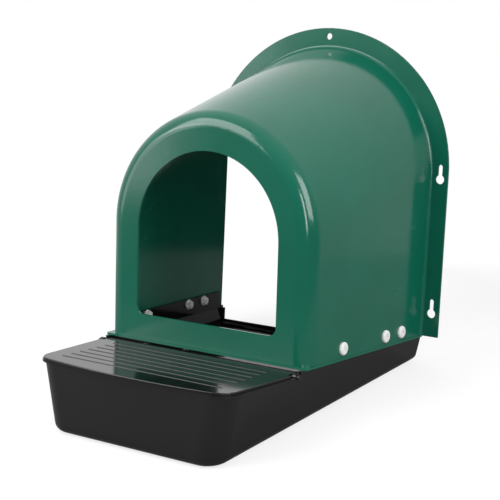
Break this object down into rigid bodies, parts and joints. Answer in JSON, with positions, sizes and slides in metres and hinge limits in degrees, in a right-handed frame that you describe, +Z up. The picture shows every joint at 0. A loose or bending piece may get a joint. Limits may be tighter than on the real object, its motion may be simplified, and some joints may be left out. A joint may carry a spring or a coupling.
{
  "type": "nesting box",
  "caption": "Wall-hung nest for laying hens: arched moulded hood with a wall flange and keyholes, sloping roll-away tray, and a hinged ribbed lid over the egg bin.",
  "frame": {"origin": "centre of the four keyholes' rectangle, on the flange's back face, which lies against the wall", "axes": "+Y into the wall, -Y out of the nest's entrance, +Z up, +X towards the side seen on the right from the front"},
  "size_m": [0.367, 0.4305, 0.4865],
  "materials": {
    "hood_plastic": "deep blue-green, glossy",
    "tray_plastic": "black, glossy",
    "lid_plastic": "black, glossy",
    "pin_plastic": "black",
    "fastener_plastic": "white"
  },
  "bodies": {
    "housing": {"hood": "hood_plastic", "tray": "tray_plastic", "hinge_pin_left": "pin_plastic", "hinge_pin_right": "pin_plastic", "bolt_front_left": "fastener_plastic", "nut_front_left": "fastener_plastic", "bolt_middle_left": "fastener_plastic", "nut_middle_left": "fastener_plastic", "bolt_back_left": "fastener_plastic", "nut_back_left": "fastener_plastic", "bolt_front_right": "fastener_plastic", "nut_front_right": "fastener_plastic", "bolt_middle_right": "fastener_plastic", "nut_middle_right": "fastener_plastic", "bolt_back_right": "fastener_plastic", "nut_back_right": "fastener_plastic"},
    "lid": {"egg_lid": "lid_plastic"}
  },
  "joints": [
    {"name": "lid_hinge", "type": "hinge", "parent": "housing", "child": "lid", "pos_m": [0, -0.292, -0.12545], "axis": [-1, 0, 0], "range_deg": [0, 92]}
  ]
}
